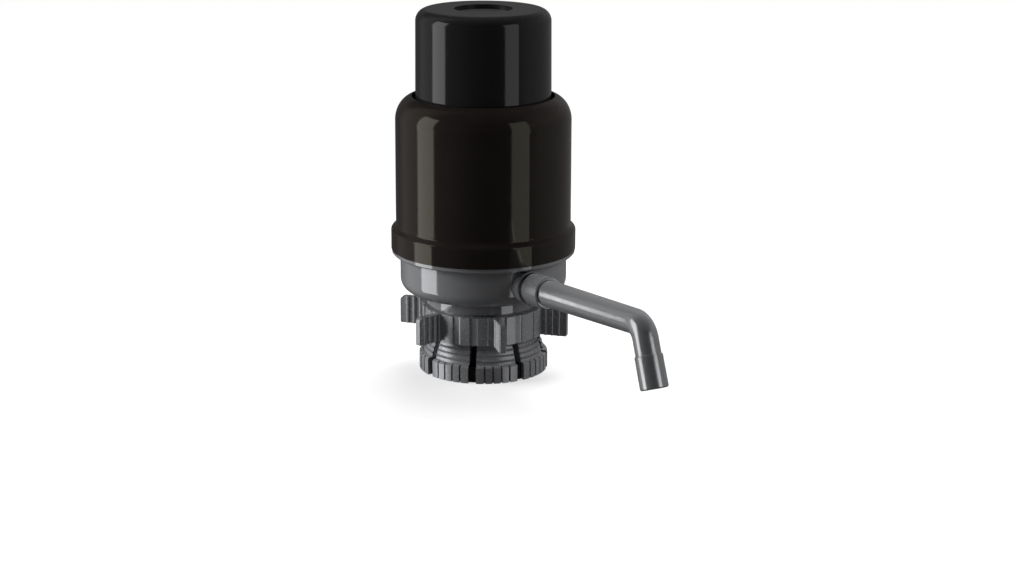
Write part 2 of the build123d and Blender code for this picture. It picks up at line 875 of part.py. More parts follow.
def spout_nozzle():
    plug_radius = tube_bend_radius - leg_plug_step + seat_gap
    socket_end = leg_length + leg_plug_length + seat_gap
    tip = leg_length + nozzle_length
    return leg_place() * revolved(
        (plug_radius, leg_length),
        (nozzle_top_radius - nozzle_chamfer, leg_length),
        (nozzle_top_radius, leg_length + nozzle_chamfer),
        (nozzle_tip_radius, tip - nozzle_edge),
        (nozzle_tip_radius - nozzle_edge, tip),
        (nozzle_mouth_radius, tip),
        (nozzle_mouth_radius, socket_end),
        (plug_radius, socket_end),
    )


pieces = {
    "push_button": push_button(),
    "pusher_plate": pusher_plate(),
    "casing": casing(),
    "base_bowl": base_bowl(),
    "bellows": bellows(),
    "clamp_ring": clamp_ring(),
    "return_spring": return_spring(),
    "spring_cap": spring_cap(),
    "valve_plate": valve_plate(),
    "valve_cage": valve_cage(),
    "intake_valve": intake_valve(),
    "delivery_valve": delivery_valve(),
    "outlet_elbow": outlet_elbow(),
    "elbow_seal": elbow_seal(),
    "spout_seal": spout_seal(),
    "spout_collar": spout_collar(),
    "spout_tube": spout_tube(),
    "spout_nozzle": spout_nozzle(),
    "wing_nut": wing_nut(),
    "neck_collet": neck_collet(),
    "neck_gasket": neck_gasket(),
    "grip_sleeve": grip_sleeve(),
}

for name, piece in pieces.items():
    export_step(piece, f"parts/{name}.step")
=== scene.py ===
import math

import bmesh
import bpy
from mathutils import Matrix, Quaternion, Vector


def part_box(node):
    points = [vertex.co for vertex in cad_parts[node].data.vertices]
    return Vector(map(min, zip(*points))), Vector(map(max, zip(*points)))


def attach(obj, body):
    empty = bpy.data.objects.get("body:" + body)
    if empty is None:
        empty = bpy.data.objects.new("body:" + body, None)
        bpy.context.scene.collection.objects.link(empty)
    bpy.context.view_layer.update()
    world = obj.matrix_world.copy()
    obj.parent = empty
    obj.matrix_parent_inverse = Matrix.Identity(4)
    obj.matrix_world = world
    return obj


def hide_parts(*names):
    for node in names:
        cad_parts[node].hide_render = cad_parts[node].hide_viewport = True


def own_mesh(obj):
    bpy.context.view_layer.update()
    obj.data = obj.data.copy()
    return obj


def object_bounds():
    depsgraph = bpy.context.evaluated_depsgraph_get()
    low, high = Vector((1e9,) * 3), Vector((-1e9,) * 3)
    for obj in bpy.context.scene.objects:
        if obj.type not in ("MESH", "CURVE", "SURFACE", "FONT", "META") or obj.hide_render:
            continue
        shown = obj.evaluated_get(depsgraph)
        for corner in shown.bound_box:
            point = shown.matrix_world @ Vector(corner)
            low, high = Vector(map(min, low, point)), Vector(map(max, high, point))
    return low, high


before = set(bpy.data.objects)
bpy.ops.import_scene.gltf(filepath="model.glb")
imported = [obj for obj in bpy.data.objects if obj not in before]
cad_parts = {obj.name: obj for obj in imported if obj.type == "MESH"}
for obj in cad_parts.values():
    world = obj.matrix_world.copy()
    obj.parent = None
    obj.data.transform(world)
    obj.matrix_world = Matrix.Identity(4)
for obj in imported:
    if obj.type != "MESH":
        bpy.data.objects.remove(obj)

mm = 0.001
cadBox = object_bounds()
print("stage: frame loaded")


# Small helpers

def linear(hexColor):
    # sRGB hex to the linear colour that the shaders work in
    parts = [int(hexColor[i:i + 2], 16) / 255 for i in (1, 3, 5)]
    parts = [c / 12.92 if c <= 0.04045 else ((c + 0.055) / 1.055) ** 2.4 for c in parts]
    return (*parts, 1.0)


def addNode(tree, kind, inputs=None, **settings):
    # one node with its settings; each input is a plain value or the socket that feeds it
    node = tree.nodes.new(kind)
    for name, value in settings.items():
        setattr(node, name, value)
    for name, given in (inputs or {}).items():
        if isinstance(given, bpy.types.NodeSocket):
            tree.links.new(given, node.inputs[name])
        else:
            node.inputs[name].default_value = given
    return node


def perMm(size):
    # texture scale for a pattern whose grain is this many millimetres
    return 1 / (size * mm)


def bakedMesh(holder):
    # the mesh that an object's modifiers give, as plain data; the object itself goes
    depsgraph = bpy.context.evaluated_depsgraph_get()
    mesh = bpy.data.meshes.new_from_object(holder.evaluated_get(depsgraph), depsgraph=depsgraph)
    bpy.data.objects.remove(holder)
    return mesh


# Camera, taken from the ellipses of the round edges

view = {
    "place": (1.1429, -0.6695, 0.4190),
    "forward": (-0.82500, 0.49802, -0.26700),
    "roll": 0.2,
    "lens": 75.1,
    "sensor": 36.0,
    "cameraSide": -31.14,  # compass angle, in degrees, at which the camera stands
}

cameraData = bpy.data.cameras.new("studioCamera")
cameraData.lens = view["lens"]
cameraData.sensor_width = view["sensor"]
camera = bpy.data.objects.new("studioCamera", cameraData)
camera.location = view["place"]
camera.rotation_mode = "QUATERNION"
level = Vector(view["forward"]).to_track_quat("-Z", "Y")
camera.rotation_quaternion = level @ Quaternion((0, 0, 1), math.radians(view["roll"]))
bpy.context.collection.objects.link(camera)
bpy.context.scene.camera = camera
bpy.context.scene.view_settings.view_transform = "Standard"
print("stage: camera set")


def fromCamera(degrees):
    # angle round the pump's axis, counted from the camera's side towards the camera's right
    return math.radians(degrees + view["cameraSide"])


# Studio: pale floor, soft lamps and the soft boxes that gloss reflects

studio = {
    "floorSize": 60.0,
    "floorShade": "#f4f4f4",
    "floorBounce": "#6c6c6c",
    "floorLift": 0.55,
    "fadeStart": 0.22,
    "fadeEnd": 0.6,
    "ambient": 0.09,
    "frontGloss": 0.03,
    "backGloss": 0.055,
    "frontFrom": 0.75,  # cosine of the angle to the camera's side from which gloss sees the front
    "backFrom": -0.4,  # and the one from which it sees the back
    "horizonTop": 21.0,
    "skyFade": (0.85, 1.25),  # shares of horizonTop between which the room fades to the sky
    "skyGloss": 0.12,  # share of the room's gloss that the sky keeps
}

softBoxes = {
    "left": {"angle": -80.5, "width": 27.5, "gloss": 1.8, "low": -25.0, "high": 34.0, "edge": 1.2},
    "leftWide": {"angle": -110.0, "width": 44.0, "gloss": 0.18, "low": -40.0, "high": 62.0, "edge": 12.0},
    "rightWide": {"angle": 119.0, "width": 104.0, "gloss": 0.1, "low": -40.0, "high": 40.0, "edge": 14.0},
    "right": {"angle": 50.5, "width": 26.0, "gloss": 0.72, "low": -25.0, "high": 34.0, "edge": 1.2},
}

# gloss doesn't see the lamps: the soft boxes of the world stand for them in reflections
lampCentre = (0.0, 0.0, cadBox[1].z / 2)
lamps = {
    "leftLamp": {"angle": -88.0, "rise": 16.0, "away": 1.6, "wide": 0.8, "tall": 0.8, "power": 38.0},
    "rightLamp": {"angle": 85.0, "rise": 28.0, "away": 1.6, "wide": 0.9, "tall": 0.9, "power": 14.0},
    "topLamp": {"angle": 160.0, "rise": 62.0, "away": 1.5, "wide": 1.1, "tall": 1.1, "power": 36.0},
}

# lights round the middle of the spout's tube, for the spout alone: the strips show in its gloss
spoutCentre = (0.125, 0.0, 0.07)
spoutLights = {
    "spoutLeftStrip": {
        "angle": -117.0, "rise": -5.0, "away": 0.8, "wide": 0.15, "tall": 0.24, "power": 0.22,
        "glossOnly": True, "pieces": ("spout_tube", "spout_nozzle"),
    },
    "spoutRightStrip": {
        "angle": 52.0, "rise": -10.0, "away": 0.8, "wide": 0.38, "tall": 0.7, "power": 1.5,
        "glossOnly": True, "pieces": ("spout_tube", "spout_nozzle"),
    },
    "spoutTopLight": {
        "angle": 160.0, "rise": 40.0, "away": 0.8, "wide": 0.5, "tall": 0.5, "power": 9.0,
        "glossOnly": False, "pieces": ("spout_collar", "spout_tube", "spout_nozzle"),
    },
}


def paleFloor():
    # keeps the pump's soft shadow near it and fades to plain white further off
    material = bpy.data.materials.new("paleFloor")
    material.use_nodes = True
    tree = material.node_tree
    tree.nodes.clear()
    direct = addNode(tree, "ShaderNodeLightPath").outputs["Is Camera Ray"]
    shade = addNode(tree, "ShaderNodeMix", {
        "Factor": direct, "A": linear(studio["floorBounce"]), "B": linear(studio["floorShade"]),
    }, data_type="RGBA")
    lit = addNode(tree, "ShaderNodeBsdfDiffuse", {"Color": shade.outputs["Result"]})
    plain = addNode(tree, "ShaderNodeEmission", {"Color": linear("#ffffff"), "Strength": 1.0})
    coords = addNode(tree, "ShaderNodeTexCoord")
    reach = addNode(tree, "ShaderNodeVectorMath", {0: coords.outputs["Object"]}, operation="LENGTH")
    fade = addNode(tree, "ShaderNodeMapRange", {
        "Value": reach.outputs["Value"], "From Min": studio["fadeStart"], "From Max": studio["fadeEnd"],
        "To Min": studio["floorLift"], "To Max": 1.0,
    }, interpolation_type="SMOOTHSTEP")
    share = addNode(tree, "ShaderNodeMath", {0: direct, 1: fade.outputs[0]}, operation="MULTIPLY")
    mixed = addNode(tree, "ShaderNodeMixShader", {
        0: share.outputs[0], 1: lit.outputs[0], 2: plain.outputs[0],
    })
    addNode(tree, "ShaderNodeOutputMaterial", {"Surface": mixed.outputs[0]})
    return material


def makeFloor():
    half = studio["floorSize"] / 2
    corners = [(-half, -half, 0), (half, -half, 0), (half, half, 0), (-half, half, 0)]
    mesh = bpy.data.meshes.new("studioFloor")
    mesh.from_pydata(corners, [], [(0, 1, 2, 3)])
    mesh.materials.append(paleFloor())
    floor = bpy.data.objects.new("studioFloor", mesh)
    bpy.context.collection.objects.link(floor)
    floor.visible_glossy = False  # gloss sees the studio's room below the pump too, and no floor


def roomGloss(tree, direction):
    # the room in reflections: a dark front and a paler back, up to a little above the horizon
    toCamera = Vector(view["forward"]) * -1
    toCamera.z = 0
    facing = addNode(tree, "ShaderNodeVectorMath", {0: direction, 1: toCamera.normalized()},
                     operation="DOT_PRODUCT")
    room = addNode(tree, "ShaderNodeMapRange", {
        "Value": facing.outputs["Value"], "From Min": studio["backFrom"], "From Max": studio["frontFrom"],
        "To Min": studio["backGloss"], "To Max": studio["frontGloss"],
    }, interpolation_type="SMOOTHSTEP")
    rise = addNode(tree, "ShaderNodeSeparateXYZ", {0: direction})
    roomEnd, skyStart = (math.sin(math.radians(studio["horizonTop"]) * share) for share in studio["skyFade"])
    below = addNode(tree, "ShaderNodeMapRange", {
        "Value": rise.outputs["Z"], "From Min": skyStart, "From Max": roomEnd,
        "To Min": studio["skyGloss"], "To Max": 1.0,
    }, interpolation_type="SMOOTHSTEP")
    return addNode(tree, "ShaderNodeMath", {0: room.outputs[0], 1: below.outputs[0]},
                   operation="MULTIPLY").outputs[0]


def boxGloss(tree, direction, box):
    # one soft box in reflections: its width round the axis, its span in height, both with soft edges
    turned = addNode(tree, "ShaderNodeVectorRotate", {
        "Vector": direction, "Angle": -fromCamera(box["angle"]),
    }, rotation_type="Z_AXIS")
    axes = addNode(tree, "ShaderNodeSeparateXYZ", {0: turned.outputs[0]})
    angle = addNode(tree, "ShaderNodeMath", {0: axes.outputs["Y"], 1: axes.outputs["X"]},
                    operation="ARCTAN2")
    aside = addNode(tree, "ShaderNodeMath", {0: angle.outputs[0]}, operation="ABSOLUTE")
    half = math.radians(box["width"] / 2)
    edge = math.radians(box["edge"])
    across = addNode(tree, "ShaderNodeMapRange", {
        "Value": aside.outputs[0], "From Min": half + edge, "From Max": half - edge,
        "To Min": 0.0, "To Max": box["gloss"],
    }, interpolation_type="SMOOTHSTEP")
    top = math.sin(math.radians(box["high"]))
    below = addNode(tree, "ShaderNodeMapRange", {
        "Value": axes.outputs["Z"], "From Min": top + edge, "From Max": top - edge,
        "To Min": 0.0, "To Max": 1.0,
    }, interpolation_type="SMOOTHSTEP")
    foot = math.sin(math.radians(box["low"]))
    above = addNode(tree, "ShaderNodeMapRange", {
        "Value": axes.outputs["Z"], "From Min": foot - edge, "From Max": foot + edge,
        "To Min": 0.0, "To Max": 1.0,
    }, interpolation_type="SMOOTHSTEP")
    span = addNode(tree, "ShaderNodeMath", {0: below.outputs[0], 1: above.outputs[0]}, operation="MULTIPLY")
    return addNode(tree, "ShaderNodeMath", {0: across.outputs[0], 1: span.outputs[0]},
                   operation="MULTIPLY").outputs[0]


def makeWorld():
    # plain white to the camera, the room and its soft boxes to gloss, an even dim light to the rest
    world = bpy.data.worlds.new("studioWorld")
    bpy.context.scene.world = world
    world.use_nodes = True
    tree = world.node_tree
    tree.nodes.clear()
    path = addNode(tree, "ShaderNodeLightPath").outputs
    direction = addNode(tree, "ShaderNodeTexCoord").outputs["Generated"]
    gloss = roomGloss(tree, direction)
    for box in softBoxes.values():
        glow = boxGloss(tree, direction, box)
        gloss = addNode(tree, "ShaderNodeMath", {0: gloss, 1: glow}, operation="ADD").outputs[0]
    unseen = addNode(tree, "ShaderNodeMix", {
        "Factor": path["Is Glossy Ray"], "A": studio["ambient"], "B": gloss,
    }, data_type="FLOAT")
    seen = addNode(tree, "ShaderNodeMath", {0: path["Is Camera Ray"], 1: path["Is Transmission Ray"]},
                   operation="MAXIMUM")
    shown = addNode(tree, "ShaderNodeMix", {
        "Factor": seen.outputs[0], "A": unseen.outputs[0], "B": 1.0,
    }, data_type="FLOAT")
    back = addNode(tree, "ShaderNodeBackground", {"Color": linear("#ffffff"), "Strength": shown.outputs[0]})
    addNode(tree, "ShaderNodeOutputWorld", {"Surface": back.outputs[0]})


def makeLight(name, spec, centre):
    # an area light round a centre that it faces; only a glossOnly one shows in reflections
    data = bpy.data.lights.new(name, "AREA")
    data.shape = "RECTANGLE"
    data.size = spec["wide"]
    data.size_y = spec["tall"]
    data.energy = spec["power"]
    angle, rise = fromCamera(spec["angle"]), math.radians(spec["rise"])
    outward = Vector((math.cos(angle) * math.cos(rise), math.sin(angle) * math.cos(rise), math.sin(rise)))
    light = bpy.data.objects.new(name, data)
    light.location = Vector(centre) + outward * spec["away"]
    light.rotation_mode = "QUATERNION"
    light.rotation_quaternion = (-outward).to_track_quat("-Z", "Y")
    light.visible_camera = False
    light.visible_glossy = spec.get("glossOnly", False)
    light.visible_diffuse = not light.visible_glossy
    if "pieces" in spec:
        light.light_linking.receiver_collection = bpy.data.collections.new(name + "Shows")
        for nodeName in spec["pieces"]:
            light.light_linking.receiver_collection.objects.link(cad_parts[nodeName])
    bpy.context.collection.objects.link(light)


makeFloor()
makeWorld()
for lampName, spec in lamps.items():
    makeLight(lampName, spec, lampCentre)
for lampName, spec in spoutLights.items():
    makeLight(lampName, spec, spoutCentre)
print("stage: studio built")


# Materials

noiseSpan = {"low": 0.35, "high": 0.65}  # most of a noise's values lie between these


def newMaterial(name, color, roughness, ior=1.5, metallic=0.0):
    material = bpy.data.materials.new(name)
    material.use_nodes = True
    tree = material.node_tree
    shader = tree.nodes["Principled BSDF"]
    shader.inputs["Base Color"].default_value = linear(color)
    shader.inputs["Roughness"].default_value = roughness
    shader.inputs["IOR"].default_value = ior
    shader.inputs["Metallic"].default_value = metallic
    coords = addNode(tree, "ShaderNodeTexCoord")
    return material, tree, shader, coords.outputs["Object"]


def mottle(tree, shader, place, darker, paler, grain):
    # slow drift between two near colours, as pigment and flow leave in moulded plastic
    noise = addNode(tree, "ShaderNodeTexNoise", {"Vector": place, "Scale": perMm(grain), "Detail": 3.0})
    blend = addNode(tree, "ShaderNodeMix", {
        "Factor": noise.outputs["Fac"], "A": linear(darker), "B": linear(paler),
    }, data_type="RGBA")
    tree.links.new(blend.outputs["Result"], shader.inputs["Base Color"])


def polish(tree, shader, place, low, high, grain):
    # roughness that wanders between two values
    noise = addNode(tree, "ShaderNodeTexNoise", {"Vector": place, "Scale": perMm(grain), "Detail": 4.0})
    spread = addNode(tree, "ShaderNodeMapRange", {
        "Value": noise.outputs["Fac"], "From Min": noiseSpan["low"], "From Max": noiseSpan["high"],
        "To Min": low, "To Max": high,
    })
    tree.links.new(spread.outputs[0], shader.inputs["Roughness"])


def relief(tree, shader, place, grain, depth):
    # slight waves in the surface, with their grain and depth in mm; a mould's texture is finer than the
    # render can show, so the grain is drawn coarser
    noise = addNode(tree, "ShaderNodeTexNoise", {"Vector": place, "Scale": perMm(grain), "Detail": 2.0})
    bump = addNode(tree, "ShaderNodeBump", {
        "Height": noise.outputs["Fac"], "Distance": depth * mm, "Strength": 1.0,
    })
    tree.links.new(bump.outputs["Normal"], shader.inputs["Normal"])


def overlay(tree, shader, share, color, roughness):
    # a second finish over the first, wherever share is 1
    finish = (("Base Color", linear(color), "RGBA"), ("Roughness", roughness, "FLOAT"))
    for socketName, value, kind in finish:
        under = shader.inputs[socketName].links[0].from_socket
        mixed = addNode(tree, "ShaderNodeMix", {"Factor": share, "A": under, "B": value}, data_type=kind)
        tree.links.new(mixed.outputs["Result"], shader.inputs[socketName])


# the button's push face: it comes in where the surface faces up by these shares
pushFace = {"color": "#2d2d2d", "roughness": 0.38, "levelFrom": 0.93, "levelFull": 0.99}


def polishedBlackAbs():
    # black ABS from a polished mould: deep neutral black, crisp reflections; the level push face is satin
    # and reads paler
    made, tree, shader, place = newMaterial("polishedBlackAbs", "#1b1b1b", roughness=0.1, ior=1.5)
    mottle(tree, shader, place, "#191919", "#1d1d1d", grain=14.0)
    polish(tree, shader, place, low=0.07, high=0.12, grain=5.0)
    relief(tree, shader, place, grain=22.0, depth=0.012)
    facing = addNode(tree, "ShaderNodeSeparateXYZ", {0: place.node.outputs["Normal"]})
    upward = addNode(tree, "ShaderNodeMapRange", {
        "Value": facing.outputs["Z"], "From Min": pushFace["levelFrom"], "From Max": pushFace["levelFull"],
    })
    overlay(tree, shader, upward.outputs[0], pushFace["color"], pushFace["roughness"])
    return made


def smokyBlackAbs():
    # black ABS with a brown cast, high gloss moulding: the reflections turn olive
    made, tree, shader, place = newMaterial("smokyBlackAbs", "#1f1b1a", roughness=0.1, ior=1.5)
    shader.inputs["Specular Tint"].default_value = linear("#e6e2cc")
    mottle(tree, shader, place, "#1c1817", "#221e1d", grain=18.0)
    polish(tree, shader, place, low=0.06, high=0.11, grain=6.0)
    relief(tree, shader, place, grain=26.0, depth=0.012)
    return made


def glossGreyAbs():
    # grey ABS, gloss moulded: cool mid grey with clear soft box reflections
    made, tree, shader, place = newMaterial("glossGreyAbs", "#929396", roughness=0.08, ior=1.52,
                                            metallic=0.5)
    mottle(tree, shader, place, "#8e8f92", "#969799", grain=12.0)
    polish(tree, shader, place, low=0.06, high=0.1, grain=4.0)
    relief(tree, shader, place, grain=18.0, depth=0.012)
    return made


def satinGreyNylon():
    # grey nylon from an eroded mould: satin and a little uneven, with a painted highlight on the rounded
    # edges, which are paler and less rough
    made, tree, shader, place = newMaterial("satinGreyNylon", "#98999c", roughness=0.25, ior=1.53,
                                            metallic=0.44)
    mottle(tree, shader, place, "#949598", "#9d9ea1", grain=9.0)
    polish(tree, shader, place, low=0.22, high=0.28, grain=2.5)
    relief(tree, shader, place, grain=9.0, depth=0.008)
    # painted highlight: the marked bevel faces turn paler (#ececee) and glossier, standing in for light
    # catching the edges
    edge = addNode(tree, "ShaderNodeAttribute", attribute_name="paintedEdgeHighlight")
    overlay(tree, shader, edge.outputs["Fac"], "#ececee", roughness=0.14)
    return made


def satinGreyAbs():
    # grey ABS, semi gloss: the spout's paler grey with soft long highlights
    made, tree, shader, place = newMaterial("satinGreyAbs", "#adaeb0", roughness=0.22, ior=1.52,
                                            metallic=0.78)
    mottle(tree, shader, place, "#a9aaac", "#b1b2b4", grain=10.0)
    polish(tree, shader, place, low=0.19, high=0.25, grain=3.0)
    relief(tree, shader, place, grain=14.0, depth=0.01)
    return made


def nitrileRubber():
    # moulded black nitrile rubber: dull, slightly grey, with a faint grain
    made, tree, shader, place = newMaterial("nitrileRubber", "#0e0e0e", roughness=0.62, ior=1.5)
    mottle(tree, shader, place, "#0c0c0c", "#121212", grain=6.0)
    polish(tree, shader, place, low=0.55, high=0.7, grain=2.0)
    relief(tree, shader, place, grain=0.6, depth=0.004)
    return made


def bellowsRubber():
    # dipped natural rubber: dull black with a soft bloom in the folds
    made, tree, shader, place = newMaterial("bellowsRubber", "#1d1c1b", roughness=0.55, ior=1.52)
    mottle(tree, shader, place, "#171615", "#2a2927", grain=8.0)
    polish(tree, shader, place, low=0.45, high=0.65, grain=3.0)
    relief(tree, shader, place, grain=1.2, depth=0.01)
    return made


def naturalPolypropylene():
    # unpigmented polypropylene, moulded: milky white, waxy
    made, tree, shader, place = newMaterial("naturalPolypropylene", "#d9d8d2", roughness=0.38, ior=1.49)
    shader.inputs["Subsurface Weight"].default_value = 0.15
    shader.inputs["Subsurface Scale"].default_value = 1.5 * mm
    mottle(tree, shader, place, "#d3d2cb", "#dfded9", grain=12.0)
    polish(tree, shader, place, low=0.32, high=0.45, grain=3.0)
    relief(tree, shader, place, grain=2.0, depth=0.003)
    return made


def drawnSpringSteel():
    # stainless spring wire, drawn: a bright metal with a fine, uneven sheen
    made, tree, shader, place = newMaterial("drawnSpringSteel", "#b9b6b0", roughness=0.3, metallic=1.0)
    mottle(tree, shader, place, "#aeaba5", "#c4c1bb", grain=1.5)
    polish(tree, shader, place, low=0.22, high=0.38, grain=0.8)
    relief(tree, shader, place, grain=0.4, depth=0.002)
    return made


blackGloss = polishedBlackAbs()
smokyGloss = smokyBlackAbs()
greyGloss = glossGreyAbs()
greySatin = satinGreyNylon()
spoutGrey = satinGreyAbs()
rubber = nitrileRubber()
foldRubber = bellowsRubber()
innerWhite = naturalPolypropylene()
steel = drawnSpringSteel()

finishes = {
    "push_button": blackGloss,
    "casing": smokyGloss,
    "base_bowl": greyGloss,
    "wing_nut": greySatin,
    "neck_collet": greySatin,
    "spout_collar": spoutGrey,
    "spout_tube": spoutGrey,
    "spout_nozzle": spoutGrey,
    "spout_seal": rubber,
    "neck_gasket": rubber,
    "grip_sleeve": rubber,
    "elbow_seal": rubber,
    "delivery_valve": rubber,
    "intake_valve": rubber,
    "bellows": foldRubber,
    "pusher_plate": innerWhite,
    "clamp_ring": innerWhite,
    "spring_cap": innerWhite,
    "valve_plate": innerWhite,
    "valve_cage": innerWhite,
    "outlet_elbow": innerWhite,
    "return_spring": steel,
}

for nodeName, material in finishes.items():
    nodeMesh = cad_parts[nodeName].data
    nodeMesh.materials.clear()
    nodeMesh.materials.append(material)
print("stage: materials on", len(finishes), "nodes")


# Pieces that take the place of CAD nodes, or add to them

def addPiece(name, mesh, material, body, stands=None):
    # a finished mesh as a piece of the pump: its object, material and body
    piece = bpy.data.objects.new(name, mesh)
    bpy.context.collection.objects.link(piece)
    mesh.materials.clear()
    mesh.materials.append(material)
    if stands:
        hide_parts(stands)
    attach(piece, body)
    return piece


def smoothShade(mesh, hardAngle):
    # smooth faces, with a hard edge wherever the surface turns by more than this many degrees
    mesh.shade_smooth()
    mesh.set_sharp_from_angle(angle=math.radians(hardAngle))


def growMesh(name, values, build, material):
    # a mesh grown by a node tree whose inputs are the values: whole numbers are counts, names that end in
    # Angle are degrees and the rest are millimetres
    tree = bpy.data.node_groups.new(name + "Nodes", "GeometryNodeTree")
    tree.interface.new_socket("Geometry", in_out="OUTPUT", socket_type="NodeSocketGeometry")
    inputs = {}
    for key, value in values.items():
        kind = "NodeSocketInt" if isinstance(value, int) else "NodeSocketFloat"
        inputs[key] = tree.interface.new_socket(key, in_out="INPUT", socket_type=kind).identifier
    shape = build(tree, addNode(tree, "NodeGroupInput").outputs)
    real = addNode(tree, "GeometryNodeRealizeInstances", {0: shape})
    painted = addNode(tree, "GeometryNodeSetMaterial", {0: real.outputs[0], "Material": material})
    addNode(tree, "NodeGroupOutput", {0: painted.outputs[0]})
    holder = bpy.data.objects.new(name + "Holder", bpy.data.meshes.new(name + "Seed"))
    bpy.context.collection.objects.link(holder)
    grow = holder.modifiers.new("grow", "NODES")
    grow.node_group = tree
    for key, value in values.items():
        if isinstance(value, int):
            grow[inputs[key]] = value
        elif key.endswith("Angle"):
            grow[inputs[key]] = math.radians(value)
        else:
            grow[inputs[key]] = value * mm
    return bakedMesh(holder)


# Thread on the collet's cone, cut through by the collet's slots

thread = {
    "bottom": 10.45, "top": 25.2, "bottomRadius": 38.9, "topRadius": 33.93,
    "pitch": 3.15, "ridgeBase": 2.2, "ridgeCrest": 0.7, "ridgeHeight": 1.8, "sunk": 0.4,
    "cutBottom": 11.3, "cutTop": 24.25, "slotCount": 8, "slotWidth": 4.4, "slotAngle": 4.5, "cutReach": 60.0,
    "turnSteps": 96,
}

# the cutters' sizes as shares of cutReach
cutters = {"boxLength": 0.5, "boxRing": 0.6, "slabWidth": 2.0, "slabHeight": 0.25}


def threadTree(tree, given):
    # a ridge of trapezoid section wound up the cone, less the cutters
    height = addNode(tree, "ShaderNodeMath", {0: given["top"], 1: given["bottom"]}, operation="SUBTRACT")
    turns = addNode(tree, "ShaderNodeMath", {0: height.outputs[0], 1: given["pitch"]}, operation="DIVIDE")
    spiral = addNode(tree, "GeometryNodeCurveSpiral", {
        "Resolution": given["turnSteps"], "Rotations": turns.outputs[0], "Height": height.outputs[0],
        "Start Radius": given["bottomRadius"], "End Radius": given["topRadius"],
    })
    upright = addNode(tree, "GeometryNodeSetCurveNormal", {"Curve": spiral.outputs[0]}, mode="Z_UP")
    section = addNode(tree, "GeometryNodeCurvePrimitiveQuadrilateral", {
        "Height": given["ridgeHeight"], "Bottom Width": given["ridgeBase"], "Top Width": given["ridgeCrest"],
        "Offset": 0.0,
    }, mode="TRAPEZOID")
    half = addNode(tree, "ShaderNodeMath", {0: given["ridgeHeight"], 1: 0.5}, operation="MULTIPLY")
    proud = addNode(tree, "ShaderNodeMath", {0: half.outputs[0], 1: given["sunk"]}, operation="SUBTRACT")
    shift = addNode(tree, "ShaderNodeCombineXYZ", {"Y": proud.outputs[0]})
    placed = addNode(tree, "GeometryNodeTransform", {0: section.outputs[0], "Translation": shift.outputs[0]})
    ridge = addNode(tree, "GeometryNodeCurveToMesh", {
        "Curve": upright.outputs[0], "Profile Curve": placed.outputs[0], "Fill Caps": True,
    })
    foot = addNode(tree, "ShaderNodeCombineXYZ", {"Z": given["bottom"]})
    raised = addNode(tree, "GeometryNodeTransform", {0: ridge.outputs[0], "Translation": foot.outputs[0]})
    slots = slotCutters(tree, given)
    above = slab(tree, given, "cutTop", 0.5)
    below = slab(tree, given, "cutBottom", -0.5)
    cut = addNode(tree, "GeometryNodeMeshBoolean", {"Mesh 1": raised.outputs[0]}, operation="DIFFERENCE")
    for cutter in (slots, above, below):
        tree.links.new(cutter, cut.inputs["Mesh 2"])
    return cut.outputs["Mesh"]


def slotCutters(tree, given):
    # one box for each slot, standing round the axis
    reach = given["cutReach"]
    length = addNode(tree, "ShaderNodeMath", {0: reach, 1: cutters["boxLength"]}, operation="MULTIPLY")
    size = addNode(tree, "ShaderNodeCombineXYZ", {
        "X": length.outputs[0], "Y": given["slotWidth"], "Z": reach,
    })
    box = addNode(tree, "GeometryNodeMeshCube", {"Size": size.outputs[0]})
    radius = addNode(tree, "ShaderNodeMath", {0: reach, 1: cutters["boxRing"]}, operation="MULTIPLY")
    ring = addNode(tree, "GeometryNodeMeshCircle", {
        "Vertices": given["slotCount"], "Radius": radius.outputs[0],
    })
    index = addNode(tree, "GeometryNodeInputIndex")
    step = addNode(tree, "ShaderNodeMath", {0: 2 * math.pi, 1: given["slotCount"]}, operation="DIVIDE")
    turn = addNode(tree, "ShaderNodeMath", {0: index.outputs[0], 1: step.outputs[0]}, operation="MULTIPLY")
    outward = addNode(tree, "ShaderNodeCombineXYZ", {"Z": turn.outputs[0]})
    spread = addNode(tree, "GeometryNodeInstanceOnPoints", {
        "Points": ring.outputs["Mesh"], "Instance": box.outputs["Mesh"], "Rotation": outward.outputs[0],
    })
    angle = addNode(tree, "ShaderNodeCombineXYZ", {"Z": given["slotAngle"]})
    turned = addNode(tree, "GeometryNodeTransform", {0: spread.outputs[0], "Rotation": angle.outputs[0]})
    return turned.outputs[0]


def slab(tree, given, level, side):
    # a block above (side 0.5) or below (side -0.5) a level
    reach = given["cutReach"]
    width = addNode(tree, "ShaderNodeMath", {0: reach, 1: cutters["slabWidth"]}, operation="MULTIPLY")
    height = addNode(tree, "ShaderNodeMath", {0: reach, 1: cutters["slabHeight"]}, operation="MULTIPLY")
    size = addNode(tree, "ShaderNodeCombineXYZ", {
        "X": width.outputs[0], "Y": width.outputs[0], "Z": height.outputs[0],
    })
    block = addNode(tree, "GeometryNodeMeshCube", {"Size": size.outputs[0]})
    lift = addNode(tree, "ShaderNodeMath", {0: reach, 1: cutters["slabHeight"] * side}, operation="MULTIPLY")
    middle = addNode(tree, "ShaderNodeMath", {0: given[level], 1: lift.outputs[0]}, operation="ADD")
    place = addNode(tree, "ShaderNodeCombineXYZ", {"Z": middle.outputs[0]})
    moved = addNode(tree, "GeometryNodeTransform", {0: block.outputs[0], "Translation": place.outputs[0]})
    return moved.outputs[0]


threadMesh = growMesh("colletThread", thread, threadTree, greySatin)
smoothShade(threadMesh, hardAngle=30)
addPiece("collet_thread", threadMesh, greySatin, "base")
print("stage: thread with", len(threadMesh.polygons), "faces")


# Return spring: round wire coiled between its seat and its cap

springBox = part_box("return_spring")
spring = {
    "bottom": springBox[0].z / mm, "top": springBox[1].z / mm, "radius": 15.0, "wire": 2.2,
    "turns": 5, "turnSteps": 48, "wireSides": 12,
}


